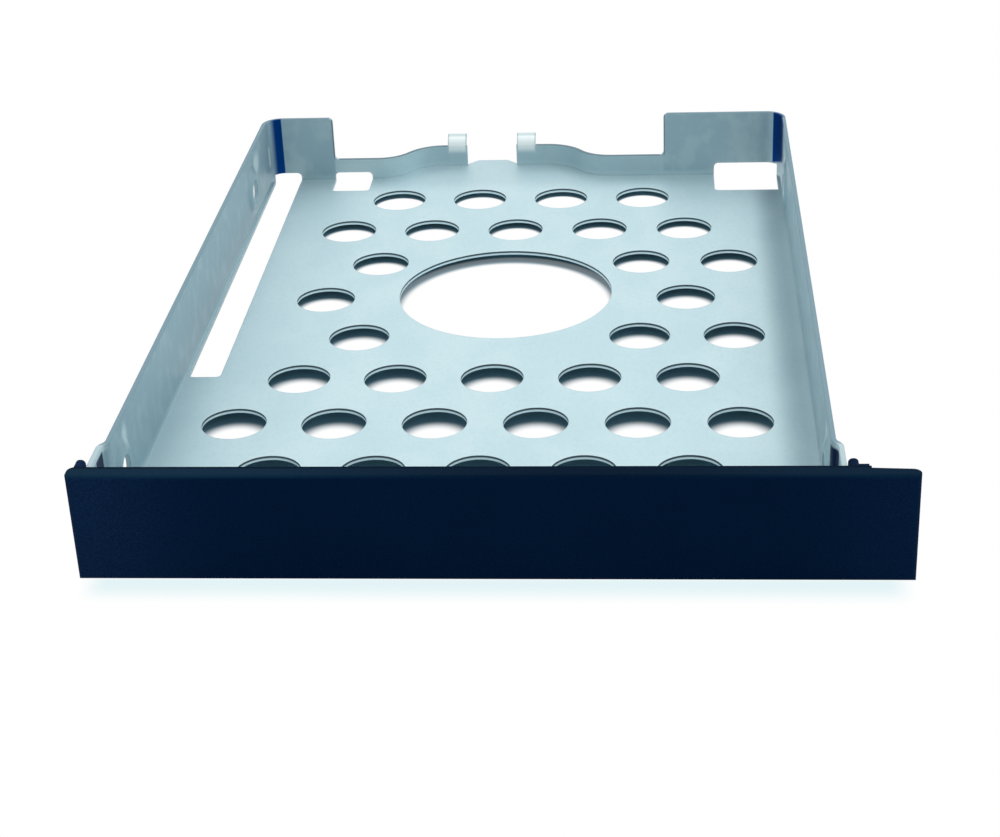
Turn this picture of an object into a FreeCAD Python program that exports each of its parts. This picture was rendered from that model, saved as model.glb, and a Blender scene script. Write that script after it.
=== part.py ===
"""Laptop hard drive caddy: a perforated sheet-steel tray for a 2.5-inch drive, with a clipped-on plastic bezel.

Both pieces are drawn in the tray's own frame: X = 0 on the tray's centreline, Y = 0 at the middle row of
holes with +Y to the connector end, and Z = 0 on the top of the floor. Their placements then move them to
the part's frame, whose origin is the middle of the bottom of the whole part. Sizes are millimetres.
"""
import FreeCAD, Part
import enum
import math
import os
import Sketcher

# Driving dimensions: alias, value and what it measures.
SIZES = [
    ("drive_width", 69.85, "width of a 2.5-inch drive"),
    ("drive_length", 100.2, "length of a 2.5-inch drive"),
    ("drive_screw_end", 14.0, "connector end of the drive to its first side screw"),
    ("drive_screw_front", 9.6, "front end of the drive to its other side screw"),
    ("drive_screw_rise", 3.0, "underside of the drive to its side screws"),
    ("drive_lift", 0.8, "gap between the floor and the drive"),
    ("drive_clearance", 0.05, "gap between the drive and each dished seat"),
    ("drive_rear_gap", 0.15, "gap behind the drive"),
    ("drive_front_gap", 0.55, "gap in front of the drive"),
    ("sheet", 0.5, "thickness of the steel sheet"),
    ("corner_radius", 2.0, "inside radius of the drawn rear corners"),
    ("edge_round", 0.6, "radius of the small corners cut in the sheet"),
    ("wall_height", 8.9, "top of the walls above the floor"),
    ("back_wall", 40.9, "inside of the rear wall's ends, behind the middle row of holes"),
    ("tab_run", 6.9, "front tabs from the bezel to the straight side walls"),
    ("flange_height", 2.9, "height of the low rear flange"),
    ("flange_left", 26.3, "left end of the low flange from the centreline"),
    ("flange_right", 19.4, "right end of the low flange from the centreline"),
    ("jog_depth", 4.7, "how far the middle of the flange stands back"),
    ("jog_radius", 5.4, "inside radius of the flange's curves"),
    ("jog_left", 20.3, "start of the left curve from the centreline"),
    ("jog_right", 12.0, "end of the right curve from the centreline"),
    ("gap_left", 8.2, "left side of the gap in the flange"),
    ("gap_right", 1.25, "right side of the gap in the flange"),
    ("tongue_reach", 2.1, "how far the floor's tongue passes the flange's inside"),
    ("tongue_taper", 1.45, "how much each side of the tongue narrows"),
    ("hook_width", 2.6, "width of each hook"),
    ("hook_inset", 0.1, "gap between a hook and the edge of the flange's gap"),
    ("hook_rise", 1.3, "top of the hooks above the flange"),
    ("hook_radius", 1.0, "inside radius of the hooks"),
    ("hook_lip", 0.1, "straight end of the hooks"),
    ("hole_pitch", 11.0, "pitch of the holes in a row"),
    ("row_pitch", 10.9, "pitch of the rows of holes"),
    ("hole_diameter", 7.1, "diameter of the floor's holes"),
    ("large_hole_diameter", 26.0, "diameter of the large hole"),
    ("large_hole_back", 1.6, "centre of the large hole, behind the middle row of holes"),
    ("rim", 0.4, "sheet left between the side walls' folds and the openings and screw seats"),
    ("slot_width", 3.7, "width of the long slot"),
    ("slot_front", 21.2, "front end of the slot, forward of the middle row of holes"),
    ("slot_rise", 1.0, "how far the slot climbs the rear wall"),
    ("corner_window_width", 8.6, "width of the window in the right rear corner"),
    ("corner_window_depth", 5.9, "front edge of that window, forward of the rear wall"),
    ("corner_window_rise", 1.7, "how far that window climbs the rear wall"),
    ("small_window_left", 26.4, "left side of the small rear window from the centreline"),
    ("small_window_width", 5.2, "width of the small rear window"),
    ("small_window_depth", 4.5, "front edge of the small window, forward of the rear wall"),
    ("small_window_rise", 1.0, "how far the small window climbs the flange"),
    ("dish_depth", 0.325, "depth of the dished screw seats"),
    ("seat_radius", 2.4, "radius of the flat middle of the seats"),
    ("screw_hole_diameter", 3.2, "screw holes for the drive"),
    ("joggle", 0.65, "how far the front tabs step outward"),
    ("joggle_radius", 0.9, "inside radius of that step"),
    ("tab_bottom", 1.2, "underside of the front tabs above the floor"),
    ("floor_relief", 1.2, "how far the floor stays clear of the walls in front"),
    ("front_clearance", 0.1, "gap between the tray and the back of the bezel"),
    ("bezel_thickness", 2.0, "thickness of the bezel's panel"),
    ("bezel_margin", 0.15, "left end of the bezel beyond the left lug"),
    ("bezel_overhang", 5.5, "right end of the bezel beyond the right lug"),
    ("bezel_rise", 0.8, "top of the bezel above the walls"),
    ("bezel_drop", 1.8, "bottom of the bezel below the top of the floor"),
    ("bezel_round", 0.5, "radius of the bezel's front edges"),
    ("overhang_step", 0.4, "how much thinner the right end starts beside the rib"),
    ("overhang_taper", 0.25, "how much more it thins to its end"),
    ("end_land", 0.1, "flat left between the front and rear rounds of the right end"),
    ("ledge_depth", 3.0, "depth of the ledge under the floor"),
    ("ledge_inset", 5.0, "distance of the ledge's ends from the walls"),
    ("lug_clearance", 0.1, "gap between a tab and a lug"),
    ("lug_thickness", 1.0, "thickness of the lugs"),
    ("lug_length", 2.0, "reach of the lugs behind the panel"),
    ("lug_bottom", 2.6, "underside of the lugs above the floor"),
    ("lug_rise", 0.5, "top of the lugs above the walls"),
    ("lug_round", 0.45, "radius of the lugs' top corners"),
    ("rib_width", 1.0, "width of the stiffening rib beside the right lug"),
    ("rib_drop", 0.6, "how far that rib stays below the lug"),
    ("window_start", 0.7, "front edge of the tabs' catch windows behind the panel"),
    ("window_length", 1.1, "length of the catch windows"),
    ("window_bottom", 4.2, "underside of the catch windows above the floor"),
    ("window_height", 3.0, "height of the catch windows"),
    ("catch_clearance", 0.1, "gap round the catches in their windows"),
    ("cut_margin", 2.0, "how far cuts run past the material"),
]

# Derived sizes, as expressions on the sheet.
INNER_HALF = "(Sizes.drive_width / 2 + Sizes.drive_clearance + Sizes.dish_depth)"
OUTER_HALF = f"({INNER_HALF} + Sizes.sheet)"
FLANGE_FACE = "(Sizes.back_wall + Sizes.jog_depth)"
TONGUE_END = f"({FLANGE_FACE} + Sizes.tongue_reach)"
DRIVE_END = "(Sizes.back_wall - Sizes.drive_rear_gap)"
BEZEL_BACK = f"({DRIVE_END} - Sizes.drive_length - Sizes.drive_front_gap)"
BEZEL_FRONT = f"({BEZEL_BACK} - Sizes.bezel_thickness)"
WALL_FRONT = f"({BEZEL_BACK} + Sizes.tab_run)"
SCREW_REAR = f"({DRIVE_END} - Sizes.drive_screw_end)"
SCREW_FRONT = f"({DRIVE_END} - Sizes.drive_length + Sizes.drive_screw_front)"
SCREW_HEIGHT = "(Sizes.drive_lift + Sizes.drive_screw_rise)"
DISH_RADIUS = f"({SCREW_HEIGHT} - Sizes.rim)"
TAB_FACE = f"({INNER_HALF} + Sizes.joggle)"
TAB_OUTER = f"({TAB_FACE} + Sizes.sheet)"
LUG_INNER = f"({TAB_OUTER} + Sizes.lug_clearance)"
LUG_OUTER = f"({LUG_INNER} + Sizes.lug_thickness)"
LUG_TOP = "(Sizes.wall_height + Sizes.lug_rise)"
RIB_OUTER = f"({LUG_OUTER} + Sizes.rib_width)"
BEZEL_LEFT = f"({LUG_OUTER} + Sizes.bezel_margin)"
BEZEL_RIGHT = f"({LUG_OUTER} + Sizes.bezel_overhang)"
OVERHANG_BACK = f"({BEZEL_BACK} - Sizes.overhang_step)"
END_BACK = f"({OVERHANG_BACK} - Sizes.overhang_taper)"
END_ROUND = f"({END_BACK} - {BEZEL_FRONT} - Sizes.bezel_round - Sizes.end_land)"
LUG_ROOT = "(Sizes.bezel_thickness / 2)"
JOG_RUN = "sqrt(4 * Sizes.jog_radius * Sizes.jog_depth - pow(Sizes.jog_depth; 2))"
JOGGLE_WIDE = "(Sizes.joggle_radius + Sizes.sheet)"
JOGGLE_RUN = f"sqrt(2 * (Sizes.joggle_radius + {JOGGLE_WIDE}) * Sizes.joggle - pow(Sizes.joggle; 2))"
TRAY_FRONT = f"({BEZEL_BACK} + Sizes.front_clearance)"
HOOK_WIDE = "(Sizes.hook_radius + Sizes.sheet)"
HOOK_TIP = f"({FLANGE_FACE} + {HOOK_WIDE} + Sizes.hook_lip)"
HOOK_FOOT = "(Sizes.flange_height / 2)"
HOOK_TOP = "(Sizes.flange_height + Sizes.hook_rise)"
CATCH_FRONT = f"({BEZEL_BACK} + Sizes.window_start + Sizes.catch_clearance)"
CATCH_REAR = f"({BEZEL_BACK} + Sizes.window_start + Sizes.window_length - Sizes.catch_clearance)"
CUT_TOP = "(Sizes.wall_height + Sizes.cut_margin)"
CUT_BOTTOM = "(Sizes.sheet + Sizes.cut_margin)"
CUT_REAR = f"({FLANGE_FACE} + Sizes.sheet + Sizes.cut_margin)"
CUT_SIDE = f"({TAB_OUTER} + Sizes.cut_margin)"

# Rows of holes from the rear to the front, by half-pitch steps from the centreline.
HOLE_ROWS = {
    3: (-3, -1, 1, 3),
    2: (-4, -2, 0, 2, 4),
    1: (-3, 3, 5),
    0: (-4, 4),
    -1: (-3, 3, 5),
    -2: (-4, -2, 0, 2, 4),
    -3: (-5, -3, -1, 1, 3, 5),
    -4: (-4, -2, 0, 2, 4),
}

TOLERANCE = 1e-4
ORIGIN = (-1, 1)


class Spot(enum.IntEnum):
    """The points of a sketched piece that a constraint can hold."""

    START = 1
    END = 2
    CENTRE = 3


doc = FreeCAD.newDocument("laptop_drive_caddy")


def make_sheet():
    """The spreadsheet of driving dimensions: name, value and meaning in columns A, B and C."""
    sheet = doc.addObject("Spreadsheet::Sheet", "Sizes")
    for row, (alias, value, meaning) in enumerate(SIZES, start=1):
        sheet.set(f"A{row}", alias)
        sheet.set(f"B{row}", str(value))
        sheet.set(f"C{row}", meaning)
        sheet.setAlias(f"B{row}", alias)
    doc.recompute()
    return sheet


def number(expression):
    """The present value of an expression on the sheet."""
    return float(sheet.evalExpression(str(expression)))


def make_body(label):
    """An empty body, placed so that the part's frame is the middle of its bottom."""
    body = doc.addObject("PartDesign::Body", label)
    body.Label = label
    body.setExpression("Placement.Base.x", f"({BEZEL_LEFT} - {BEZEL_RIGHT}) / 2")
    body.setExpression("Placement.Base.y", f"-({TONGUE_END} + {BEZEL_FRONT}) / 2")
    body.setExpression("Placement.Base.z", "Sizes.bezel_drop")
    return body


def make_sketch(body, name, plane, offsets=None):
    """A sketch on one of the body's origin planes, moved by expressions along the sketch's own axes."""
    sketch = body.newObject("Sketcher::SketchObject", name)
    support = next(f for f in body.Origin.OriginFeatures if f.Role == plane)
    sketch.AttachmentSupport = (support, [""])
    sketch.MapMode = "FlatFace"
    for axis, expression in (offsets or {}).items():
        sketch.setExpression(f"AttachmentOffset.Base.{axis}", expression)
    return sketch


def dimension(sketch, kind, ends, value, expression):
    """Add one dimension to a sketch and bind it to the sheet."""
    index = sketch.addConstraint(Sketcher.Constraint(kind, *ends, value))
    sketch.setExpression(f"Constraints[{index}]", expression)


def locate(sketch, kind, geometry, end, expression):
    """Hold one end of a piece at a signed distance from the sketch's origin."""
    value = number(expression)
    if abs(value) < TOLERANCE:
        on_axis = -2 if kind == "DistanceX" else -1
        sketch.addConstraint(Sketcher.Constraint("PointOnObject", geometry, end, on_axis))
    elif value > 0:
        dimension(sketch, kind, (*ORIGIN, geometry, end), value, expression)
    else:
        dimension(sketch, kind, (geometry, end, *ORIGIN), -value, f"-({expression})")


class Loop:
    """A closed outline drawn piece by piece. Each joint is held by a constraint, smooth or sharp."""

    def __init__(self, sketch):
        self.sketch = sketch
        self.pieces = []

    def line(self, start, end, smooth=False):
        """A straight piece. Smooth says that it leaves the piece before it without a corner."""
        segment = Part.LineSegment(FreeCAD.Vector(*start), FreeCAD.Vector(*end))
        index = self.sketch.addGeometry(segment, False)
        self.pieces.append((index, Spot.START, Spot.END, smooth))
        if abs(start[0] - end[0]) < TOLERANCE:
            self.sketch.addConstraint(Sketcher.Constraint("Vertical", index))
        elif abs(start[1] - end[1]) < TOLERANCE:
            self.sketch.addConstraint(Sketcher.Constraint("Horizontal", index))
        return index

    def arc(self, centre, radius, first, last, expression, smooth=True):
        """A round piece between two angles in degrees, clockwise if the last is the smaller."""
        circle = Part.Circle(FreeCAD.Vector(*centre), FreeCAD.Vector(0, 0, 1), radius)
        low, high = math.radians(min(first, last)), math.radians(max(first, last))
        index = self.sketch.addGeometry(Part.ArcOfCircle(circle, low, high), False)
        ends = (Spot.START, Spot.END) if last > first else (Spot.END, Spot.START)
        self.pieces.append((index, *ends, smooth))
        dimension(self.sketch, "Radius", (index,), radius, expression)
        return index

    def close(self):
        """Join each piece to the one before it."""
        for before, after in zip(self.pieces[-1:] + self.pieces[:-1], self.pieces):
            kind = "Tangent" if after[3] else "Coincident"
            joint = Sketcher.Constraint(kind, before[0], before[2], after[0], after[1])
            self.sketch.addConstraint(joint)


def draw_polygon(sketch, corners):
    """A closed outline with sharp corners, each at a pair of expressions."""
    points = [(number(x), number(y)) for x, y in corners]
    loop = Loop(sketch)
    lines = []
    for here, there in zip(points, points[1:] + points[:1]):
        segment = Part.LineSegment(FreeCAD.Vector(*here), FreeCAD.Vector(*there))
        index = sketch.addGeometry(segment, False)
        loop.pieces.append((index, Spot.START, Spot.END, False))
        lines.append(index)
    loop.close()
    for index, (x, y) in zip(lines, corners):
        locate(sketch, "DistanceX", index, Spot.START, x)
        locate(sketch, "DistanceY", index, Spot.START, y)


def draw_rectangle(sketch, left, right, bottom, top, radius=None, rounded=()):
    """A rectangle between four expressions. The corners named in rounded get the radius.

    The corners are numbered from the lower left one, against the clock.
    """
    x0, x1, y0, y1 = (number(e) for e in (left, right, bottom, top))
    corners = [(x0, y0), (x1, y0), (x1, y1), (x0, y1)]
    reach = number(radius) if radius else 0.0
    loop = Loop(sketch)
    sides = []
    for i, (here, there) in enumerate(zip(corners, corners[1:] + corners[:1])):
        length = math.dist(here, there)
        step = [(b - a) / length * reach for a, b in zip(here, there)]
        cut_here = i in rounded
        cut_there = (i + 1) % 4 in rounded
        start = [a + s * cut_here for a, s in zip(here, step)]
        end = [b - s * cut_there for b, s in zip(there, step)]
        sides.append(loop.line(start, end, smooth=cut_here))
        if cut_there:
            inward = (-step[1], step[0])
            centre = [e + n for e, n in zip(end, inward)]
            turn = 90.0 * i - 90.0
            loop.arc(centre, reach, turn, turn + 90.0, radius)
    loop.close()
    for side, kind, expression in zip(sides, ("DistanceY", "DistanceX") * 2, (bottom, right, top, left)):
        locate(sketch, kind, side, Spot.START, expression)


def draw_circle(sketch, x, y, diameter):
    """A circle with its centre at two expressions."""
    radius = number(diameter) / 2
    centre = FreeCAD.Vector(number(x), number(y), 0)
    index = sketch.addGeometry(Part.Circle(centre, FreeCAD.Vector(0, 0, 1), radius), False)
    dimension(sketch, "Diameter", (index,), 2 * radius, diameter)
    locate(sketch, "DistanceX", index, Spot.CENTRE, x)
    locate(sketch, "DistanceY", index, Spot.CENTRE, y)


def draw_tray_outline(sketch, offset, front):
    """The tray in plan: side walls, drawn corners and the rear wall with its middle set back by two S-curves.

    offset is 0 for the inside of the sheet and its thickness for the outside. front is the Y of the open end.
    """
    half = f"({INNER_HALF} + {offset})"
    rear = f"(Sizes.back_wall + {offset})"
    middle = f"({FLANGE_FACE} + {offset})"
    corner = f"(Sizes.corner_radius + {offset})"
    hollow = f"(Sizes.jog_radius - {offset})"
    full = f"(Sizes.jog_radius + {offset})"
    w, yr, ym, yf = number(half), number(rear), number(middle), number(front)
    rc, rh, rf = number(corner), number(hollow), number(full)
    run = number(JOG_RUN)
    x1 = -number("Sizes.jog_left")
    x2 = x1 + run
    x4 = number("Sizes.jog_right")
    x3 = x4 - run
    turn = math.degrees(math.acos(1 - number("Sizes.jog_depth") / (rh + rf)))
    loop = Loop(sketch)
    front_line = loop.line((w, yf), (-w, yf))
    left_wall = loop.line((-w, yf), (-w, yr - rc))
    loop.arc((-w + rc, yr - rc), rc, 180, 90, corner)
    left_end = loop.line((-w + rc, yr), (x1, yr), smooth=True)
    loop.arc((x1, yr + rh), rh, -90, -90 + turn, hollow)
    loop.arc((x2, ym - rf), rf, 90 + turn, 90, full)
    middle_line = loop.line((x2, ym), (x3, ym), smooth=True)
    loop.arc((x3, ym - rf), rf, 90, 90 - turn, full)
    loop.arc((x4, yr + rh), rh, -90 - turn, -90, hollow)
    right_end = loop.line((x4, yr), (w - rc, yr), smooth=True)
    loop.arc((w - rc, yr - rc), rc, 90, 0, corner)
    right_wall = loop.line((w, yr - rc), (w, yf), smooth=True)
    loop.close()
    locate(sketch, "DistanceY", front_line, Spot.START, front)
    locate(sketch, "DistanceX", left_wall, Spot.START, f"-{half}")
    locate(sketch, "DistanceX", right_wall, Spot.END, half)
    locate(sketch, "DistanceY", left_end, Spot.START, rear)
    locate(sketch, "DistanceX", left_end, Spot.END, "-Sizes.jog_left")
    locate(sketch, "DistanceY", middle_line, Spot.START, middle)
    locate(sketch, "DistanceY", right_end, Spot.END, rear)
    locate(sketch, "DistanceX", right_end, Spot.START, "Sizes.jog_right")


def draw_tab(sketch):
    """The left front tab in plan: a strip of sheet that leaves the wall and steps outward by an S-curve."""
    inside, face, outside = -number(INNER_HALF), -number(TAB_FACE), -number(TAB_OUTER)
    tight, wide = number("Sizes.joggle_radius"), number(JOGGLE_WIDE)
    step_start = number(WALL_FRONT)
    step_end = step_start - number(JOGGLE_RUN)
    front = number(TRAY_FRONT)
    turn = math.degrees(math.acos(1 - number("Sizes.joggle") / (tight + wide)))
    near, far = (inside - wide, step_start), (face + tight, step_end)
    loop = Loop(sketch)
    root = loop.line((-number(OUTER_HALF), step_start), (inside, step_start))
    loop.arc(near, wide, 0, -turn, JOGGLE_WIDE, smooth=False)
    loop.arc(far, tight, 180 - turn, 180, "Sizes.joggle_radius")
    inner_side = loop.line((face, step_end), (face, front), smooth=True)
    end_line = loop.line((face, front), (outside, front))
    outer_side = loop.line((outside, front), (outside, step_end))
    loop.arc(far, wide, 180, 180 - turn, JOGGLE_WIDE)
    loop.arc(near, tight, -turn, 0, "Sizes.joggle_radius")
    loop.close()
    locate(sketch, "DistanceX", root, Spot.START, f"-{OUTER_HALF}")
    locate(sketch, "DistanceX", root, Spot.END, f"-{INNER_HALF}")
    locate(sketch, "DistanceY", root, Spot.START, WALL_FRONT)
    locate(sketch, "DistanceX", inner_side, Spot.START, f"-{TAB_FACE}")
    locate(sketch, "DistanceY", inner_side, Spot.START, f"{WALL_FRONT} - {JOGGLE_RUN}")
    locate(sketch, "DistanceY", end_line, Spot.START, TRAY_FRONT)
    locate(sketch, "DistanceX", outer_side, Spot.START, f"-{TAB_OUTER}")
    locate(sketch, "DistanceY", outer_side, Spot.END, f"{WALL_FRONT} - {JOGGLE_RUN}")


def draw_hook(sketch):
    """A hook from the side: it rises from the flange, bends back through a quarter turn and ends in a lip."""
    face, back = number(FLANGE_FACE), number(f"{FLANGE_FACE} + Sizes.sheet")
    tight, wide = number("Sizes.hook_radius"), number(HOOK_WIDE)
    foot, top = number(HOOK_FOOT), number(HOOK_TOP)
    centre = (face + wide, top - wide)
    tip = number(HOOK_TIP)
    loop = Loop(sketch)
    front_side = loop.line((face, foot), (face, centre[1]))
    loop.arc(centre, wide, 180, 90, HOOK_WIDE)
    upper_side = loop.line((centre[0], top), (tip, top), smooth=True)
    tip_line = loop.line((tip, top), (tip, centre[1] + tight))
    lower_side = loop.line((tip, centre[1] + tight), (centre[0], centre[1] + tight))
    loop.arc(centre, tight, 90, 180, "Sizes.hook_radius")
    rear_side = loop.line((back, centre[1]), (back, foot), smooth=True)
    foot_line = loop.line((back, foot), (face, foot))
    loop.close()
    locate(sketch, "DistanceX", front_side, Spot.START, FLANGE_FACE)
    locate(sketch, "DistanceY", upper_side, Spot.START, HOOK_TOP)
    locate(sketch, "DistanceX", tip_line, Spot.START, HOOK_TIP)
    locate(sketch, "DistanceY", lower_side, Spot.START, f"{HOOK_TOP} - Sizes.sheet")
    locate(sketch, "DistanceX", rear_side, Spot.START, f"{FLANGE_FACE} + Sizes.sheet")
    locate(sketch, "DistanceY", foot_line, Spot.START, HOOK_FOOT)


def add_feature(body, kind, name, sketch, **settings):
    """A feature on a sketch. Text settings are expressions and the others are plain values."""
    feature = body.newObject(f"PartDesign::{kind}", name)
    feature.Profile = sketch
    for key, value in settings.items():
        if isinstance(value, str):
            feature.setExpression(key, value)
        else:
            setattr(feature, key, value)
    sketch.Visibility = False
    doc.recompute()
    return feature


def edge_names(shape, wanted):
    """The names of the edges whose two ends and middle satisfy a test on a point."""
    names = []
    for index, edge in enumerate(shape.Edges, start=1):
        middle = edge.valueAt((edge.FirstParameter + edge.LastParameter) / 2)
        if wanted([vertex.Point for vertex in edge.Vertexes] + [middle]):
            names.append(f"Edge{index}")
    return names


def add_fillet(body, name, radius, wanted):
    """Round the edges of the body's present shape that satisfy a test."""
    base = body.Tip
    names = edge_names(base.Shape, wanted)
    fillet = body.newObject("PartDesign::Fillet", name)
    fillet.Base = (base, names)
    fillet.setExpression("Radius", radius)
    doc.recompute()
    return fillet


def all_at(axis, value):
    """A test that every point has this coordinate on an axis."""
    return lambda points: all(abs(point[axis] - value) < TOLERANCE for point in points)


def mirror(body, name, originals):
    """Copy features to the other side of the centreline."""
    copy = body.newObject("PartDesign::Mirrored", name)
    copy.Originals = originals
    plane = next(f for f in body.Origin.OriginFeatures if f.Role == "YZ_Plane")
    copy.MirrorPlane = (plane, [""])
    body.Tip = copy
    doc.recompute()
    return copy


def add_seat_faces(body, kind, name, face, far):
    """One side of the left wall's two dished screw seats: cones about the screws' axes, from face to far."""
    features = []
    for place, along in (("rear", SCREW_REAR), ("front", SCREW_FRONT)):
        offsets = {"y": along, "z": SCREW_HEIGHT}
        sketch = make_sketch(body, f"{place}_{name}_outline", "XY_Plane", offsets)
        draw_polygon(
            sketch,
            [
                (f"-{far}", "0"),
                (f"-{face} + Sizes.dish_depth", "0"),
                (f"-{face} + Sizes.dish_depth", "Sizes.seat_radius"),
                (f"-{face}", DISH_RADIUS),
                (f"-{far}", DISH_RADIUS),
            ],
        )
        axis = (sketch, ["H_Axis"])
        features.append(add_feature(body, kind, f"{place}_{name}", sketch, ReferenceAxis=axis, Angle=360.0))
    return features


def fold_blank(body):
    """The drawn blank: floor, side walls and rear wall, folded sharply inside, with an open front."""
    outside = make_sketch(body, "tray_outside", "XY_Plane", {"z": "-Sizes.sheet"})
    draw_tray_outline(outside, "Sizes.sheet", WALL_FRONT)
    add_feature(body, "Pad", "tray_blank", outside, Length="Sizes.wall_height + Sizes.sheet")
    inside = make_sketch(body, "tray_inside", "XY_Plane")
    draw_tray_outline(inside, "0", f"{WALL_FRONT} - Sizes.cut_margin")
    add_feature(body, "Pocket", "tray_hollow", inside, Length=CUT_TOP, Reversed=True)
    at_front = all_at(1, number(WALL_FRONT))
    at_underside = all_at(2, -number("Sizes.sheet"))
    add_fillet(
        body, "folds", "Sizes.sheet", lambda points: at_underside(points) and not at_front(points)
    )
    apron = make_sketch(body, "front_floor", "XY_Plane")
    apron_half = f"({INNER_HALF} - Sizes.floor_relief)"
    draw_rectangle(apron, f"-{apron_half}", apron_half, TRAY_FRONT, WALL_FRONT)
    add_feature(body, "Pad", "front_floor_pad", apron, Length="Sizes.sheet", Reversed=True)


def trim_rear_wall(body):
    """Cut the rear wall down to the low flange, open its gap and carry the floor through as a tongue."""
    low = make_sketch(body, "flange_cut", "XZ_Plane")
    draw_rectangle(
        low,
        "-Sizes.flange_left",
        "Sizes.flange_right",
        "Sizes.flange_height",
        CUT_TOP,
        "Sizes.edge_round",
        (0, 1),
    )
    add_feature(body, "Pocket", "flange_trim", low, Length=CUT_REAR)
    at_top = all_at(2, number("Sizes.wall_height"))
    at_left = all_at(0, -number("Sizes.flange_left"))
    at_right = all_at(0, number("Sizes.flange_right"))
    add_fillet(
        body,
        "wall_end_corners",
        "Sizes.edge_round",
        lambda points: at_top(points) and (at_left(points) or at_right(points)),
    )
    root = f"({FLANGE_FACE} - Sizes.sheet)"
    gap = make_sketch(body, "flange_gap", "XZ_Plane", {"z": f"-{root}"})
    draw_rectangle(gap, "-Sizes.gap_left", "-Sizes.gap_right", f"-{CUT_BOTTOM}", CUT_TOP)
    add_feature(body, "Pocket", "flange_gap_cut", gap, Length=f"{CUT_REAR} - {root}")
    tongue = make_sketch(body, "tongue_outline", "XY_Plane")
    shoulder = f"({TONGUE_END} - Sizes.tongue_taper)"
    draw_polygon(
        tongue,
        [
            ("-Sizes.gap_left", root),
            ("-Sizes.gap_right", root),
            ("-Sizes.gap_right", shoulder),
            ("-Sizes.gap_right - Sizes.tongue_taper", TONGUE_END),
            ("-Sizes.gap_left + Sizes.tongue_taper", TONGUE_END),
            ("-Sizes.gap_left", shoulder),
        ],
    )
    add_feature(body, "Pad", "tongue", tongue, Length="Sizes.sheet", Reversed=True)


def add_hooks(body):
    """The two hooks, one on each side of the gap in the flange."""
    starts = {
        "left_hook": "-(Sizes.gap_left + Sizes.hook_inset + Sizes.hook_width)",
        "right_hook": "-(Sizes.gap_right - Sizes.hook_inset)",
    }
    for name, start in starts.items():
        sketch = make_sketch(body, f"{name}_outline", "YZ_Plane", {"z": start})
        draw_hook(sketch)
        add_feature(body, "Pad", name, sketch, Length="Sizes.hook_width")


def pierce_floor(body):
    """The large hole and the staggered rows of smaller ones round it."""
    sketch = make_sketch(body, "floor_holes", "XY_Plane")
    draw_circle(sketch, "0", "Sizes.large_hole_back", "Sizes.large_hole_diameter")
    for row, steps in HOLE_ROWS.items():
        for step in steps:
            draw_circle(
                sketch, f"{step} * Sizes.hole_pitch / 2", f"{row} * Sizes.row_pitch", "Sizes.hole_diameter"
            )
    add_feature(body, "Pocket", "floor_hole_cut", sketch, Length=CUT_BOTTOM)


def open_rear_corners(body):
    """The long slot, the corner window and the small window. Each crosses the rear fold and climbs the wall."""
    edge = f"({INNER_HALF} - Sizes.rim)"
    openings = [
        (f"-{edge}", f"-{edge} + Sizes.slot_width", "-Sizes.slot_front", "Sizes.slot_rise", (0, 1), (2,)),
        (
            f"{edge} - Sizes.corner_window_width",
            edge,
            "Sizes.back_wall - Sizes.corner_window_depth",
            "Sizes.corner_window_rise",
            (0,),
            (3,),
        ),
        (
            "-Sizes.small_window_left",
            "-Sizes.small_window_left + Sizes.small_window_width",
            "Sizes.back_wall - Sizes.small_window_depth",
            "Sizes.small_window_rise",
            (0, 1),
            (2, 3),
        ),
    ]
    wall_start = "(Sizes.back_wall - Sizes.corner_radius - Sizes.rim)"
    floor_part = make_sketch(body, "floor_openings", "XY_Plane")
    wall_part = make_sketch(body, "wall_openings", "XZ_Plane", {"z": f"-{wall_start}"})
    for left, right, front, rise, front_rounds, top_rounds in openings:
        draw_rectangle(floor_part, left, right, front, CUT_REAR, "Sizes.edge_round", front_rounds)
        draw_rectangle(wall_part, left, right, f"-{CUT_BOTTOM}", rise, "Sizes.edge_round", top_rounds)
    add_feature(body, "Pocket", "floor_opening_cut", floor_part, Length=CUT_BOTTOM)
    add_feature(body, "Pocket", "wall_opening_cut", wall_part, Length=f"{CUT_REAR} - {wall_start}")


def form_sides(body):
    """The dished screw seats, the front tabs, the screw holes and the tabs' catch windows."""
    features = add_seat_faces(body, "Revolution", "boss", INNER_HALF, f"({INNER_HALF} + Sizes.sheet / 2)")
    features += add_seat_faces(body, "Groove", "dish", OUTER_HALF, CUT_SIDE)
    tab = make_sketch(body, "tab_outline", "XY_Plane", {"z": "Sizes.tab_bottom"})
    draw_tab(tab)
    features.append(add_feature(body, "Pad", "front_tab", tab, Length="Sizes.wall_height - Sizes.tab_bottom"))
    mirror(body, "right_side", features)
    side_cuts = make_sketch(body, "side_holes", "YZ_Plane", {"z": f"-{CUT_SIDE}"})
    for along in (SCREW_REAR, SCREW_FRONT):
        draw_circle(side_cuts, along, SCREW_HEIGHT, "Sizes.screw_hole_diameter")
    window_front = f"({BEZEL_BACK} + Sizes.window_start)"
    draw_rectangle(
        side_cuts,
        window_front,
        f"{window_front} + Sizes.window_length",
        "Sizes.window_bottom",
        "Sizes.window_bottom + Sizes.window_height",
    )
    add_feature(body, "Pocket", "side_hole_cut", side_cuts, Length=f"2 * {CUT_SIDE}", Reversed=True)


def make_tray():
    """The folded sheet-steel tray."""
    body = make_body("tray")
    fold_blank(body)
    trim_rear_wall(body)
    pierce_floor(body)
    open_rear_corners(body)
    add_hooks(body)
    form_sides(body)
    return body


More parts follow.
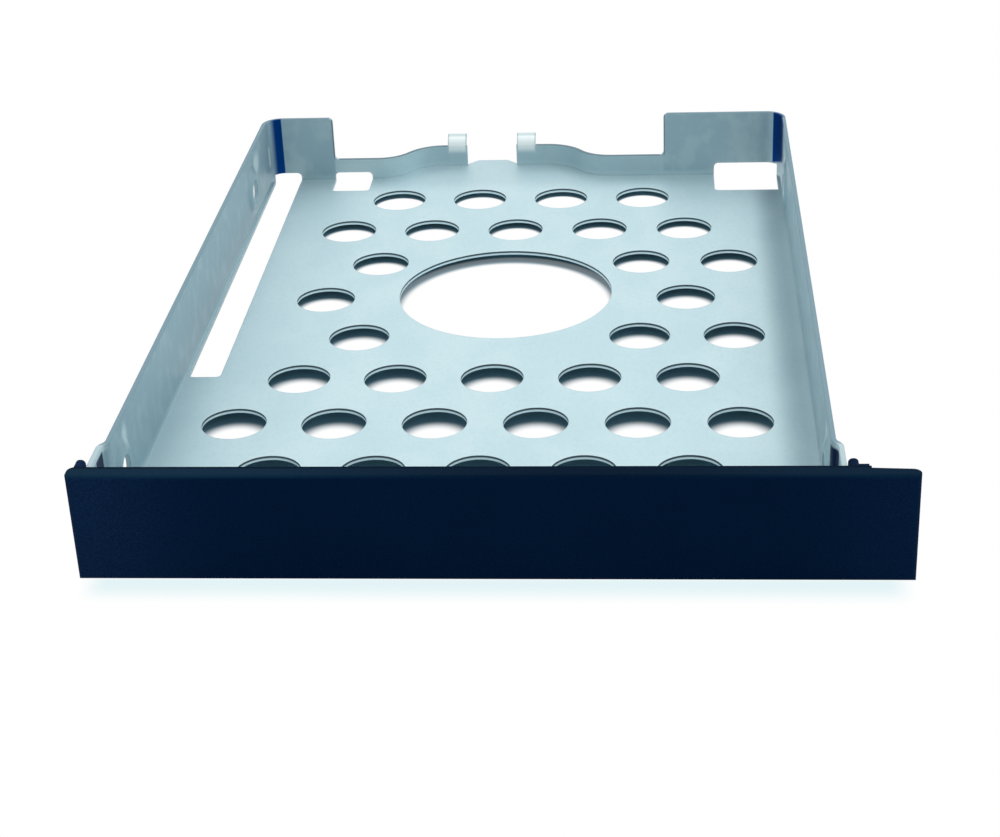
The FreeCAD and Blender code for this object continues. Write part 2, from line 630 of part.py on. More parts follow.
def mould_panel(body):
    """The bezel's panel, thinner where it overhangs to the right, and the ledge that carries the tray's floor."""
    behind = {"z": f"-{BEZEL_BACK}"}
    panel = make_sketch(body, "panel_outline", "XZ_Plane", behind)
    top = "Sizes.wall_height + Sizes.bezel_rise"
    draw_rectangle(panel, f"-{BEZEL_LEFT}", BEZEL_RIGHT, "-Sizes.bezel_drop", top)
    add_feature(body, "Pad", "panel", panel, Length="Sizes.bezel_thickness")
    relief = make_sketch(body, "overhang_relief", "XY_Plane", {"z": "-Sizes.bezel_drop - Sizes.cut_margin"})
    draw_polygon(
        relief,
        [
            (RIB_OUTER, OVERHANG_BACK),
            (BEZEL_RIGHT, END_BACK),
            (BEZEL_RIGHT, f"{BEZEL_BACK} + Sizes.cut_margin"),
            (RIB_OUTER, f"{BEZEL_BACK} + Sizes.cut_margin"),
        ],
    )
    height = f"{CUT_TOP} + Sizes.bezel_rise + Sizes.bezel_drop + Sizes.cut_margin"
    add_feature(body, "Pocket", "overhang_cut", relief, Length=height, Reversed=True)
    at_left = all_at(0, -number(BEZEL_LEFT))
    at_right = all_at(0, number(BEZEL_RIGHT))
    rear_left = all_at(1, number(BEZEL_BACK))
    rear_right = all_at(1, number(END_BACK))
    add_fillet(
        body,
        "rear_end_edges",
        END_ROUND,
        lambda points: (at_left(points) and rear_left(points)) or (at_right(points) and rear_right(points)),
    )
    add_fillet(body, "front_edges", "Sizes.bezel_round", all_at(1, number(BEZEL_FRONT)))
    ledge = make_sketch(body, "ledge_outline", "XZ_Plane", behind)
    ledge_half = f"({INNER_HALF} - Sizes.ledge_inset)"
    draw_rectangle(ledge, f"-{ledge_half}", ledge_half, "-Sizes.bezel_drop", "-Sizes.sheet")
    add_feature(body, "Pad", "ledge", ledge, Length="Sizes.ledge_depth", Reversed=True)


def mould_lugs(body):
    """The lugs outside the tray's tabs, rooted in the panel, with their catches and a rib beside the right one."""
    rooted = {"z": f"{LUG_ROOT} - {BEZEL_BACK}"}
    lug_reach = f"{LUG_ROOT} + Sizes.lug_length"
    lug = make_sketch(body, "lug_outline", "XZ_Plane", rooted)
    draw_rectangle(
        lug, f"-{LUG_OUTER}", f"-{LUG_INNER}", "Sizes.lug_bottom", LUG_TOP, "Sizes.lug_round", (2, 3)
    )
    left_lug = add_feature(body, "Pad", "lug", lug, Length=lug_reach, Reversed=True)
    catch_bottom = "Sizes.window_bottom + Sizes.catch_clearance"
    catch = make_sketch(body, "catch_outline", "XY_Plane", {"z": catch_bottom})
    root = f"-{LUG_OUTER} + Sizes.lug_thickness / 2"
    draw_polygon(
        catch,
        [
            (root, CATCH_FRONT),
            (f"-{TAB_FACE} - Sizes.catch_clearance", CATCH_FRONT),
            (f"-{LUG_INNER}", CATCH_REAR),
            (root, CATCH_REAR),
        ],
    )
    catch_height = "Sizes.window_height - 2 * Sizes.catch_clearance"
    left_catch = add_feature(body, "Pad", "catch", catch, Length=catch_height)
    mirror(body, "right_lug", [left_lug, left_catch])
    rib = make_sketch(body, "rib_outline", "XZ_Plane", rooted)
    draw_rectangle(rib, LUG_OUTER, RIB_OUTER, "Sizes.lug_bottom", f"{LUG_TOP} - Sizes.rib_drop")
    add_feature(body, "Pad", "lug_rib", rib, Length=lug_reach, Reversed=True)


def make_bezel():
    """The moulded plastic bezel that clips to the tray's front tabs."""
    body = make_body("bezel")
    mould_panel(body)
    mould_lugs(body)
    return body


def check(bodies):
    """Stop if any object failed or a body isn't one sound solid."""
    doc.recompute()
    failed = [o.Name for o in doc.Objects if {"Invalid", "Error"} & set(o.State)]
    if failed:
        raise RuntimeError(f"failed objects: {failed}")
    for body in bodies:
        shape = body.Shape
        if shape.isNull() or not shape.isValid() or len(shape.Solids) != 1:
            raise RuntimeError(f"{body.Label} is not one valid solid")


sheet = make_sheet()
bodies = [make_tray(), make_bezel()]
check(bodies)
os.makedirs("parts", exist_ok=True)
for body in bodies:
    body.Shape.exportStep(f"parts/{body.Label}.step")
    box = body.Shape.BoundBox
    print(f"{body.Label}: {body.Shape.Volume:.1f} mm3, {box}")
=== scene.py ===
"""Looks of the laptop hard drive caddy: zinc-coated sheet steel, satin plastic, a white table and soft light.

The part's own solids carry all the shapes. This script gives the tray and the bezel their finishes, and adds the
table, the light and the camera. Lengths in the finishes are millimetres in the part's frame, where X runs to the
right, Y to the rear and Z up. Colours are in linear light.
"""
import math

import bpy
import numpy as np
from mathutils import Matrix, Vector

MM = 0.001

# The tray: its middle, the inside faces of its walls, its heights, and the drawn corners at its rear.
TRAY_MIDDLE = -2.675
SIDE_FACE = 35.3
LEFT_FACE, RIGHT_FACE = TRAY_MIDDLE - SIDE_FACE, TRAY_MIDDLE + SIDE_FACE
REAR_FACE = 48.05
CORNER_RADIUS = 2.0
FLOOR_TOP, FLOOR_UNDER = 1.8, 1.3
FLANGE_TOP, WALL_TOP = 4.7, 10.7

# The low flange between the two tall ends of the rear wall, the tall ends' upright edges, and the two hooks.
FLANGE_LEFT, FLANGE_RIGHT = -28.9, 16.6
ENDS_MIDDLE, ENDS_HALF = -6.125, 22.91
HOOKS_MIDDLE, HOOK_OFFSET, HOOK_HALF = -7.4, 4.875, 1.3

# The front tabs jog outwards between two places along the walls. A dark bar runs up each between two more, as a
# painted dark reflection.
TAB_JOG, JOG_STARTS, JOG_ENDS = 0.65, -45.95, -47.55
LEFT_TAB_BAR, RIGHT_TAB_BAR = (-49.4, -47.4), (-48.3, -45.9)

# The screw seats in the side walls are dished rings, at the rear and in front.
REAR_SEAT, FRONT_SEAT, SEAT_HEIGHT = 33.9, -42.7, 5.6

# Upright stripes in the rear corners, as the angles at which each starts, is full, fades and is gone. The bars are
# painted dark reflections, and the pale stripe on the left a painted highlight.
LEFT, RIGHT = -1, 1
LEFT_BAR, RIGHT_BAR, LEFT_HIGHLIGHT = (30.0, 60.0, 84.0, 88.0), (-2.0, -1.0, 59.0, 62.0), (4.0, 12.0, 16.0, 26.0)

# The floor's openings: the part of the floor that holds them, the small holes on their lattice, and the large hole.
PUNCHED_LEFT, PUNCHED_RIGHT, PUNCHED_REAR = -33.8, 31.0, 43.5
LATTICE_START, HOLE_STEP, ROW_STEP, SMALL_RADIUS = 7.15, 11.0, 10.9, 3.55
LARGE_HOLE, LARGE_RADIUS = 8.75, 13.0

# The bezel: its top, the rear and front edges of that, and half its width.
BEZEL_TOP, BEZEL_BACK, BEZEL_FRONT, BEZEL_HALF = 11.5, -52.85, -54.85, 40.375

# The part leans back from the bezel's ledge to the tongue, which is 1.3 higher and 104.7 behind it. The table rises
# in the same way, and stands a little lower than both.
LEDGE, TABLE_RISE, TABLE_DROP = -49.85, 1.3 / 104.7, 0.5

# Colours: the tray's, then the bezel's, then the table's.
PALE_ZINC, COOL_ZINC = (0.555, 0.725, 0.77, 1.0), (0.515, 0.69, 0.74, 1.0)
ZINC_SPECKLE = (0.44, 0.60, 0.65, 1.0)
# The walls' zinc is painted darker, as shade; the flakes over it are spangle.
SHADED_WALL_ZINC, WALL_FLAKES = (0.37, 0.53, 0.595, 1.0), (0.54, 0.69, 0.71, 1.0)
# Painted shade towards the inside folds.
FOLD_SHADE = (0.0, 0.09, 0.15, 1.0)
# Painted highlight on the tips of the front tabs.
TAB_TIP_HIGHLIGHT = (0.70, 0.84, 0.87, 1.0)
TOP_EDGES, CUT_EDGES = (0.18, 0.30, 0.36, 1.0), (0.12, 0.21, 0.25, 1.0)
# Painted highlight on the hooks, and painted shade on their side rims and rolled tips.
HOOK_HIGHLIGHT, HOOK_RIM_SHADE = (0.90, 0.99, 1.0, 1.0), (0.35, 0.50, 0.53, 1.0)
# Painted highlight on the hole walls, and a painted dark reflection along their upper part.
HOLE_WALL_HIGHLIGHT, HOLE_EDGE_REFLECTION = (0.62, 0.86, 0.94, 1.0), (0.05, 0.09, 0.11, 1.0)
# Painted highlights: the glints above the seats, and the pale stripe in the left rear corner.
SEAT_GLINTS, CORNER_HIGHLIGHT = (0.74, 0.88, 0.90, 1.0), (0.66, 0.81, 0.84, 1.0)
# Painted dark reflections in the rear corners and on the front tabs.
CORNER_REFLECTION, TAB_REFLECTION = (0.0005, 0.045, 0.21, 1.0), (0.001, 0.018, 0.07, 1.0)
BLUE_BLACK, BLUE_BLACK_CLOUD = (0.0004, 0.0106, 0.0395, 1.0), (0.0007, 0.0122, 0.0445, 1.0)
# Painted sheen at the bezel's ends, and painted light and shade on its top face.
END_SHEEN, GRAIN_PITS = (0.0055, 0.0225, 0.072, 1.0), (0.0, 0.0055, 0.022, 1.0)
TOP_SHADE, TOP_LIGHT = (0.0, 0.0075, 0.024, 1.0), (0.0038, 0.0222, 0.048, 1.0)
TOP_REAR_SHADE = (0.0, 0.008, 0.022, 1.0)
WHITE = (1.0, 1.0, 1.0, 1.0)
# The table's colour under the tray is painted dark, as shade, and the bezel's faint shade on it is a painted shadow.
TABLE_TOP, TABLE_SHADE = (0.6, 0.64, 0.66, 1.0), (0.13, 0.26, 0.33, 1.0)
BEZEL_SHADE = (0.775, 0.90, 0.92, 1.0)


class Wire:
    """One socket of a finish. Arithmetic on it adds the Math nodes that work out the expression."""

    def __init__(self, finish, socket):
        self.finish = finish
        self.socket = socket

    def maths(self, operation, *values):
        """A Math node on these values, in their order."""
        return self.finish.node("ShaderNodeMath", {"operation": operation}, dict(enumerate(values)))

    def __add__(self, other):
        return self.maths("ADD", self, other)

    def __sub__(self, other):
        return self.maths("SUBTRACT", self, other)

    def __mul__(self, other):
        return self.maths("MULTIPLY", self, other)

    def __truediv__(self, other):
        return self.maths("DIVIDE", self, other)

    def __rsub__(self, other):
        return self.maths("SUBTRACT", other, self)

    def __abs__(self):
        return self.maths("ABSOLUTE", self)

    __radd__ = __add__
    __rmul__ = __mul__

    def beside(self, other):
        """The hypotenuse of this and another length."""
        square = self * self + other * other
        return square.maths("SQRT", square)

    def wrapped(self, step):
        """This length, less the whole steps that leave it nearest to 0."""
        return self.maths("WRAP", self, step / 2, -step / 2)

    def over(self, low, high):
        """0 below low, 1 above high and a smooth rise between them; falling if high is the smaller."""
        settings = {"interpolation_type": "SMOOTHSTEP"}
        ends = (high, low, 1.0, 0.0) if low > high else (low, high, 0.0, 1.0)
        return self.finish.node("ShaderNodeMapRange", settings, dict(enumerate((self, *ends))))

    def within(self, low, high, soft):
        """1 between low and high, falling to 0 over a soft margin outside them."""
        return self.over(low - soft, low) * self.over(high + soft, high)


class Finish:
    """A node tree under construction: a material's, or the world's."""

    def __init__(self, owner):
        owner.use_nodes = True
        self.owner = owner
        self.tree = owner.node_tree
        self.tree.nodes.clear()

    def node(self, kind, settings=None, sockets=None, out=0):
        """Add a node, set its settings, then give its sockets their values or links. Returns one output."""
        made = self.tree.nodes.new(kind)
        for key, value in (settings or {}).items():
            setattr(made, key, value)
        for key, value in (sockets or {}).items():
            if isinstance(value, Wire):
                self.tree.links.new(value.socket, made.inputs[key])
            else:
                made.inputs[key].default_value = value
        return Wire(self, made.outputs[out]) if made.outputs else None

    def point(self):
        """The point on the surface in millimetres, as a vector."""
        place = self.node("ShaderNodeTexCoord", out=3)
        return self.node("ShaderNodeVectorMath", {"operation": "SCALE"}, {0: place, "Scale": 1 / MM})

    def parts(self, vector):
        """The three parts of a vector."""
        split = self.node("ShaderNodeSeparateXYZ", sockets={0: vector}).socket.node
        return [Wire(self, socket) for socket in split.outputs]

    def noise(self, point, stretch, detail, roughness=0.5):
        """Smooth noise from 0 to 1, whose lumps are about 1 / stretch millimetres along each axis."""
        scaled = self.node("ShaderNodeVectorMath", {"operation": "MULTIPLY"}, {0: point, 1: stretch})
        sockets = {"Vector": scaled, "Scale": 1.0, "Detail": detail, "Roughness": roughness}
        return self.node("ShaderNodeTexNoise", sockets=sockets)

    def blend(self, mask, below, above):
        """A colour that goes from below to above as the mask rises from 0 to 1."""
        settings = {"data_type": "RGBA"}
        return self.node("ShaderNodeMix", settings, {0: mask, 6: below, 7: above}, out=2)

    def layers(self, colour, *coats):
        """A colour under coats of paint, the lowest first. Each coat is a mask and its own colour."""
        for mask, coat in coats:
            colour = self.blend(mask, colour, coat)
        return colour

    def bump(self, height, distance, **normal):
        """A normal from a height field whose full range is distance millimetres, over the Normal given, if any."""
        return self.node("ShaderNodeBump", sockets={"Height": height, "Distance": distance * MM, **normal})

    def surface(self, sockets):
        """End the tree in a Principled shader."""
        shader = self.node("ShaderNodeBsdfPrincipled", sockets=sockets)
        self.node("ShaderNodeOutputMaterial", sockets={0: shader})
        return self.owner


def new_finish(name):
    """An empty material."""
    return Finish(bpy.data.materials.new(name))


def on_flange(x):
    """Mask of the width of the low flange."""
    return x.within(FLANGE_LEFT, FLANGE_RIGHT, 0.2)


def on_walls(x, z):
    """Mask of the walls, which are painted darker as shade. The low flange has half of it, and none at its left end.
    """
    left_end = x.over(-14.0, -22.0)
    spared = on_flange(x) * (0.45 + 0.55 * left_end)
    return z.over(FLOOR_TOP + 0.05, FLOOR_TOP + 1.0) * (1.0 - spared)


def on_inner_side(x, y):
    """1 on the inner sides of the side walls and of the front tabs, which jog outwards; 0 on their outsides."""
    across = abs(x - TRAY_MIDDLE)
    return (across - TAB_JOG * y.over(JOG_STARTS, JOG_ENDS)).over(SIDE_FACE + 0.3, SIDE_FACE + 0.1)


def painted_fold_shade(x, y, z):
    """How much painted shade the sheet takes towards its inside folds.

    The floor has a band of painted shade beside the right wall, weaker in front and at the fold itself, and a faint
    one along its rear. Beside the left wall, the floor and the wall both clear with the distance from the fold.
    """
    from_left = (x - LEFT_FACE).beside(z - FLOOR_TOP)
    from_right, from_rear = RIGHT_FACE - x, REAR_FACE - y
    right_band = (0.34 + 0.08 * y.over(-30.0, -5.0)) * from_right.over(4.8, 1.6)
    on_floor = right_band - 0.1 * from_right.over(1.2, 0.2) + 0.13 * from_rear.over(6.0, 0.5)
    left_bands = 0.11 * from_left.over(7.0, 0.5) + 0.15 * from_left.over(20.0, 0.5)
    return on_floor * z.over(FLOOR_TOP + 0.3, FLOOR_TOP + 0.1) + left_bands


def on_cut_edges(x, y, z):
    """Mask of the flange's top edge and of the upright edges of the rear wall's tall ends."""
    flange_edge = on_flange(x) * z.within(FLANGE_TOP - 0.02, FLANGE_TOP + 0.005, 0.01)
    upright_edges = abs(x - ENDS_MIDDLE).within(ENDS_HALF - 0.07, ENDS_HALF + 0.07, 0.01)
    upright_edges = upright_edges * z.over(FLANGE_TOP, FLANGE_TOP + 0.3) * y.over(REAR_FACE - 0.25, REAR_FACE - 0.05)
    return flange_edge + upright_edges


def on_hooks(x, z):
    """Masks of the two hooks above the flange's foot, and of their side rims and rolled tips."""
    # The hooks take a painted highlight, and their side rims and rolled tips painted shade.
    from_middle = abs(abs(x - HOOKS_MIDDLE) - HOOK_OFFSET)
    above_foot, rolled_tip = z.over(3.4, 4.5), z.over(5.75, 5.95)
    hooks = from_middle.over(HOOK_HALF + 0.1, HOOK_HALF) * above_foot
    sides = from_middle.over(HOOK_HALF - 0.2, HOOK_HALF - 0.06)
    return hooks, hooks * (0.7 * sides + 0.6 * rolled_tip)


def on_hole_walls(x, y, z):
    """Mask of the cut walls of the floor's openings, between its top and its underside and clear of the folds."""
    heights = z.over(FLOOR_TOP - 0.003, FLOOR_TOP - 0.01) * z.over(FLOOR_UNDER, FLOOR_UNDER + 0.01)
    return heights * x.within(PUNCHED_LEFT, PUNCHED_RIGHT, 0.03) * y.over(PUNCHED_REAR, PUNCHED_REAR - 0.05)


def above_seats(y, z):
    """Mask of two painted glints above and behind the screw seats: a broad oval at the rear and a narrow one in
    front.
    """
    height = z - SEAT_HEIGHT
    broad = (y - (REAR_SEAT + 3.5)).beside(1.4 * (height - 2.7)).over(2.9, 0.8)
    narrow = (y - (FRONT_SEAT + 1.7)).beside(0.8 * (height - 3.0)).over(1.5, 0.3)
    return broad + narrow


def corner_stripe(x, y, side, starts, full, fades, gone):
    """Mask of an upright stripe on the inside of the drawn rear corner at one side.

    Its edges are angles in degrees round the corner's axis, from 0 on the side wall to 90 on the rear wall.
    """
    across = side * (x - TRAY_MIDDLE) - (SIDE_FACE - CORNER_RADIUS)
    along = y - (REAR_FACE - CORNER_RADIUS)
    angle = across.maths("ARCTAN2", along, across) * math.degrees(1)
    in_corner = across.over(-0.02, 0.02) * along.over(-0.02, 0.02)
    inner = across.beside(along).over(CORNER_RADIUS + 0.3, CORNER_RADIUS + 0.2)
    return in_corner * inner * angle.over(starts, full) * angle.over(gone, fades)


def on_corner_bars(x, y, z):
    """Mask of painted dark reflections in the rear corners. The right one runs on along the wall, to a slant below.
    """
    corner_start = REAR_FACE - CORNER_RADIUS
    on_right_wall = x.within(RIGHT_FACE - 0.025, RIGHT_FACE + 0.075, 0.05)
    wall_bar = on_right_wall * y.over(40.6, 43.5) * y.over(corner_start + 0.05, corner_start)
    above_slant = (z + 0.36 * y).over(20.6, 21.0)
    right_bar = (corner_stripe(x, y, RIGHT, *RIGHT_BAR) + wall_bar) * above_slant
    return corner_stripe(x, y, LEFT, *LEFT_BAR) + right_bar


def on_tab_bars(x, y, z):
    """Mask of painted dark reflections on the front tabs, below the tips. The left one stands a little further
    forward.
    """
    left_bar = x.over(0.0, -1.0) * y.within(*LEFT_TAB_BAR, 0.25)
    right_bar = x.over(0.0, 1.0) * y.within(*RIGHT_TAB_BAR, 0.2)
    off_floor = abs(x - TRAY_MIDDLE).over(SIDE_FACE - 0.2, SIDE_FACE - 0.1)
    below_tips = z.over(WALL_TOP - 0.4, WALL_TOP - 0.8)
    return (left_bar + right_bar) * off_floor * below_tips


def zinc_finish():
    """Zinc-coated sheet: rolling grain, speckle, clouding, flaked walls, cut edges, and painted light and shade.

    The grain is noise drawn out along Y, the speckle is noise of half a millimetre, and the clouding is noise of
    centimetres that moves the colour between two pale tints. The walls are painted darker, as shade, with the pale
    flakes of a zinc spangle in noise of two millimetres. The other tints lie over these, on the masks of the
    functions
    above: painted shade towards the folds and on the hooks' rims, and painted highlights on the tab tips, the hooks,
    the hole walls, above the seats and in the left rear corner. On the walls of the holes, the upper part is painted
    dark, as the reflection in their rounded upper edge. The dished rings of the screw seats are smoother and brighter
    metal, and the dark bars in the corners and on the tabs are painted dark reflections, where the sheet is more
    metallic.
    """
    finish = new_finish("zinc_coated_sheet")
    point = finish.point()
    x, y, z = finish.parts(point)
    grain = finish.noise(point, (7.0, 0.4, 7.0), detail=2.0)
    clouds = finish.noise(point, (0.16, 0.1, 0.16), detail=4.0)
    speckle = finish.noise(point, (2.4, 1.6, 2.4), detail=3.0, roughness=0.7)
    flakes = finish.noise(point, (0.45, 0.45, 0.35), detail=3.0)
    walls = on_walls(x, z)
    # Painted highlight on the tips of the front tabs, where the top edges keep only half their dark tint.
    tips = y.over(JOG_STARTS - 0.55, JOG_ENDS + 0.35) * z.over(WALL_TOP - 0.8, WALL_TOP - 0.4)
    top_edges = z.over(WALL_TOP - 0.04, WALL_TOP - 0.01) * (1.0 - 0.5 * tips)
    hooks, hook_rims = on_hooks(x, z)
    hole_walls = on_hole_walls(x, y, z)
    inner_side = on_inner_side(x, y)
    # Painted highlight in the left rear corner, and painted dark reflections in the corners and on the tabs.
    corner_highlight = corner_stripe(x, y, LEFT, *LEFT_HIGHLIGHT) * z.within(4.8, 6.8, 0.8)
    corner_bars = on_corner_bars(x, y, z)
    tab_bars = on_tab_bars(x, y, z) * inner_side
    colour = finish.layers(
        finish.blend(clouds.over(0.35, 0.65), PALE_ZINC, COOL_ZINC),
        (speckle.over(0.45, 0.75) * 0.35, ZINC_SPECKLE),
        # painted shade: the walls darker than the floor
        (walls, SHADED_WALL_ZINC),
        (flakes.over(0.46, 0.68) * walls * 0.38, WALL_FLAKES),
        # painted shade towards the folds
        (painted_fold_shade(x, y, z), FOLD_SHADE),
        (tips, TAB_TIP_HIGHLIGHT),
        (top_edges, TOP_EDGES),
        (on_cut_edges(x, y, z), CUT_EDGES),
        # painted highlight on the hooks, painted shade on their rims and tips
        (hooks, HOOK_HIGHLIGHT),
        (hook_rims, HOOK_RIM_SHADE),
        # painted highlight on the hole walls, and a painted dark reflection along their upper part
        (hole_walls, HOLE_WALL_HIGHLIGHT),
        (hole_walls * z.over(FLOOR_UNDER + 0.2, FLOOR_UNDER + 0.3), HOLE_EDGE_REFLECTION),
        # painted glints above the screw seats
        (above_seats(y, z) * inner_side * 0.7, SEAT_GLINTS),
        # painted highlight and painted dark reflections
        (corner_highlight, CORNER_HIGHLIGHT),
        (corner_bars, CORNER_REFLECTION),
        (tab_bars, TAB_REFLECTION),
    )
    seat_rings = sum((y - seat).beside(z - SEAT_HEIGHT).within(2.4, 3.4, 0.1) for seat in (REAR_SEAT, FRONT_SEAT))
    rough = 0.4 + 0.08 * clouds + 0.1 * grain - 0.08 * seat_rings
    # Less metallic on the hooks, under their painted highlight; more metallic under the painted dark reflections of
    # the bars.
    metal = 0.5 + 0.5 * (corner_bars + tab_bars) + 0.2 * seat_rings - 0.5 * hooks
    rounded = finish.node("ShaderNodeBevel", {"samples": 6}, {"Radius": 0.12 * MM})
    normal = finish.bump(grain, 0.004, Normal=rounded)
    return finish.surface({"Base Color": colour, "Metallic": metal, "Roughness": rough, "Normal": normal})


def plastic_finish():
    """Moulded plastic: blue-black with the fine even grain of a spark-finished mould, paler ends as painted sheen.

    The grain is noise of an eighth of a millimetre, dark in its pits. The top face has its own tint, painted as light
    and shade: paler at the ends too, and darker along the rear edge.
    """
    finish = new_finish("satin_blue_black_plastic")
    point = finish.point()
    x, y, z = finish.parts(point)
    grain = finish.noise(point, (8.0, 8.0, 8.0), detail=2.0)
    clouds = finish.noise(point, (0.08, 0.08, 0.08), detail=2.0)
    # Painted sheen towards the ends of the front, and painted light and shade on the top face.
    front_ends = x.over(-24.0, -40.0) + 0.4 * x.over(28.0, 40.0)
    top_ends = x.over(10.0, -34.0) + 0.5 * x.over(10.0, 36.0)
    top = z.over(BEZEL_TOP - 0.3, BEZEL_TOP - 0.05)
    colour = finish.layers(
        finish.blend(clouds.over(0.3, 0.7), BLUE_BLACK, BLUE_BLACK_CLOUD),
        (front_ends, END_SHEEN),
        (grain.over(0.35, 0.65) * 0.6, GRAIN_PITS),
        (top, finish.blend(top_ends, TOP_SHADE, TOP_LIGHT)),
        (top * y.over(BEZEL_BACK - 0.55, BEZEL_BACK - 0.15), TOP_REAR_SHADE),
    )
    rough = 0.5 + 0.12 * grain
    normal = finish.bump(grain, 0.03)
    sockets = {"Base Color": colour, "Roughness": rough, "Normal": normal, "Specular IOR Level": 0.015}
    return finish.surface(sockets)


def under_holes(x, y):
    """Mask of painted pools of light on the table below the holes, as light from overhead and a little behind casts
    them.

    The floor stands higher over the table towards the front. A disc's edge grows softer with that height, and a small
    hole's disc moves forward with it. The small holes stand on two lattices, the second half a step from the first
    both ways, so the way to the nearest hole comes from the point wrapped into one step of each. Each lattice ends at
    its own half width, and round the large hole, whose shade keeps a little light.
    """
    across = x - TRAY_MIDDLE
    soft = FLOOR_TOP - 0.43 - TABLE_RISE * (y - LEDGE)
    beyond_large = across.beside(y - LARGE_HOLE) - LARGE_RADIUS
    large_disc = ((across.beside(y - LARGE_HOLE + 0.65) - LARGE_RADIUS) / soft).over(1.0, -1.0)
    discs = (0.12 + 0.88 * large_disc) * beyond_large.over(1.4, 0.8)
    along = y - LATTICE_START + 0.4 * soft
    for shift, half_width in ((0.0, 27.0), (0.5, 32.0)):
        to_side = (across + shift * HOLE_STEP).wrapped(HOLE_STEP)
        to_front = (along + shift * 2 * ROW_STEP).wrapped(2 * ROW_STEP)
        disc = ((to_side.beside(to_front) - SMALL_RADIUS - 0.05) / soft).over(1.0, -1.0)
        discs = discs + disc * beyond_large.over(1.6, 2.2) * abs(across).over(half_width + 0.5, half_width)
    return discs


def under_tray(x, y):
    """Mask of painted shade on the table under the tray: all its floor but the slot, the two windows and the holes.
    """
    left, right, front, rear = -38.0, 33.2, -52.8, 45.5
    slot_right, slot_front = -33.9, -16.0
    window_left, window_front = 23.1, 42.1
    small_left, small_right, small_front = -31.4, -24.1, 42.9
    floor = x.within(left, right, 1.0) * y.within(front, rear, 0.4)
    slot = x.over(slot_right + 0.3, slot_right - 0.3) * y.over(slot_front - 2.5, slot_front + 2.5)
    window = x.over(window_left - 0.5, window_left + 0.5) * y.over(window_front - 0.3, window_front + 0.3)
    small_window = x.within(small_left, small_right, 0.4) * y.over(small_front - 0.3, small_front + 0.3)
    return floor * (1.0 - slot) * (1.0 - window - small_window) * (1.0 - under_holes(x, y))


def table_finish():
    """White table. Away from the part, the camera and reflections see plain white; near it they see its shade.

    The shade is the tray's own, on a colour painted dark under the tray, with painted pools of white
    light under the holes, and a faint painted shadow along the front of the bezel.
    """
    finish = new_finish("white_table")
    x, y, _ = finish.parts(finish.point())
    path = finish.node("ShaderNodeLightPath").socket.node
    seen = sum(Wire(finish, path.outputs[f"Is {kind} Ray"]) for kind in ("Camera", "Glossy", "Transmission"))
    # A faint painted shadow along the front of the bezel.
    before_bezel = y.over(BEZEL_FRONT - 3.55, BEZEL_FRONT + 0.25) * y.over(BEZEL_FRONT + 1.45, BEZEL_FRONT + 0.85)
    before_bezel = before_bezel * x.within(-BEZEL_HALF + 2.775, BEZEL_HALF - 2.775, 3.2)
    faint = finish.blend(before_bezel, WHITE, BEZEL_SHADE)
    white = finish.node("ShaderNodeEmission", sockets={"Color": faint})
    # Under the tray, camera and reflections see a colour painted dark, as shade, which the tray's real shade darkens
    # further.
    lit = finish.blend(seen, TABLE_TOP, TABLE_SHADE)
    shade = finish.node("ShaderNodeBsdfDiffuse", sockets={"Color": lit})
    plain = seen * (1.0 - under_tray(x, y))
    both = finish.node("ShaderNodeMixShader", sockets={0: plain, 1: shade, 2: white})
    finish.node("ShaderNodeOutputMaterial", sockets={0: both})
    return finish.owner


def make_table():
    """The flat table under the part: a grid whose height grows evenly to the rear, as the part leans on it."""
    half, columns, rows = 4.0, 7, 9
    u, v = np.meshgrid(np.linspace(-half, half, columns), np.linspace(-half, half, rows))
    height = TABLE_RISE * (v - LEDGE * MM) - TABLE_DROP * MM
    points = np.stack([u, v, height], axis=-1).reshape(-1, 3)
    first = (np.arange(rows - 1)[:, None] * columns + np.arange(columns - 1)).ravel()
    faces = first[:, None] + np.array([0, 1, columns + 1, columns])
    mesh = bpy.data.meshes.new("table")
    mesh.from_pydata(points.tolist(), [], faces.tolist())
    mesh.materials.append(table_finish())
    table = bpy.data.objects.new("table", mesh)
    bpy.context.collection.objects.link(table)


def add_strip_lamp(name, place, width, length, power):
    """A long lamp above the part, which runs from front to back and faces it. Lengths are metres, power is watts."""
    lamp = bpy.data.lights.new(name, "AREA")
    lamp.shape = "RECTANGLE"
    lamp.size, lamp.size_y = width, length
    lamp.energy = power
    holder = bpy.data.objects.new(name, lamp)
    holder.location = place
    holder.rotation_euler = Vector((place[0], 0.0, place[2])).to_track_quat("Z", "Y").to_euler()
    bpy.context.collection.objects.link(holder)


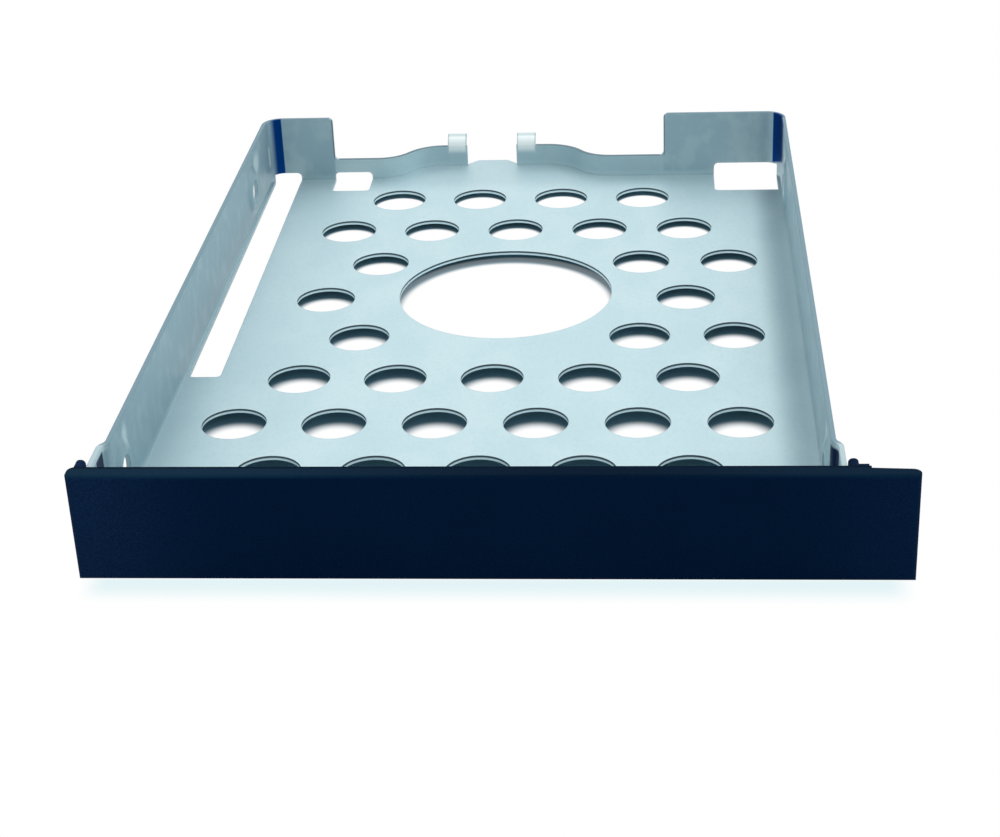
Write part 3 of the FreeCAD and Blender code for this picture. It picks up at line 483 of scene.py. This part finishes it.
def light_room():
    """An even light tent with brighter panels behind, above the rear and to the right, and a strip lamp on the right.

    A panel is a patch of sky. It fades in from its edge as the cosine of the angle to its middle rises.
    """
    finish = Finish(bpy.data.worlds.new("room"))
    across, along, up = finish.parts(finish.node("ShaderNodeTexCoord", out=0))
    rear = along.over(0.2, 0.7) * up.over(0.12, 0.3) * up.over(0.9, 0.6)
    high_rear = (0.5 * along + 0.87 * up).over(0.85, 0.97)
    right = (0.8 * across + 0.6 * up).over(0.75, 0.95)
    level = 0.72 + 0.2 * rear + 0.65 * high_rear + 0.35 * right
    background = finish.node("ShaderNodeBackground", sockets={0: WHITE, 1: level})
    finish.node("ShaderNodeOutputWorld", sockets={0: background})
    bpy.context.scene.world = finish.owner
    add_strip_lamp("right_lamp", place=(0.2, 0.05, 0.55), width=0.04, length=0.7, power=0.95)


def place_camera():
    """The camera of the photograph: its place, its lens, and its three turns, which are aim, tilt and roll."""
    place = Vector((16.5785, -225.5758, 106.8280)) * MM
    aim, tilt, roll = (math.radians(angle) for angle in (5.03116, 62.50469, -2.53631))
    lens = bpy.data.cameras.new("camera")
    lens.sensor_fit = "HORIZONTAL"
    lens.sensor_width = 36.0
    lens.lens = 75.4627
    lens.clip_start = 0.01
    camera = bpy.data.objects.new("camera", lens)
    turn = Matrix.Rotation(aim, 4, "Z") @ Matrix.Rotation(tilt, 4, "X") @ Matrix.Rotation(roll, 4, "Z")
    camera.matrix_world = Matrix.Translation(place) @ turn
    bpy.context.collection.objects.link(camera)
    bpy.context.scene.camera = camera


def dress(node, material):
    """Give every material slot of a solid the same finish."""
    for slot in node.material_slots:
        slot.material = material


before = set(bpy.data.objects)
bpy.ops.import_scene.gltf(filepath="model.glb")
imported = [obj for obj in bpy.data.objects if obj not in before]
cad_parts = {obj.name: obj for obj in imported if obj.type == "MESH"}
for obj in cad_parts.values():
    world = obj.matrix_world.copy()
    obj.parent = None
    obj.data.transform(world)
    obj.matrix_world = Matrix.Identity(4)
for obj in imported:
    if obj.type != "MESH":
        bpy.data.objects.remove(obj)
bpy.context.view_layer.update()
place_camera()
dress(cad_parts["tray"], zinc_finish())
dress(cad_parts["bezel"], plastic_finish())
make_table()
light_room()
bpy.context.scene.view_settings.view_transform = "Standard"
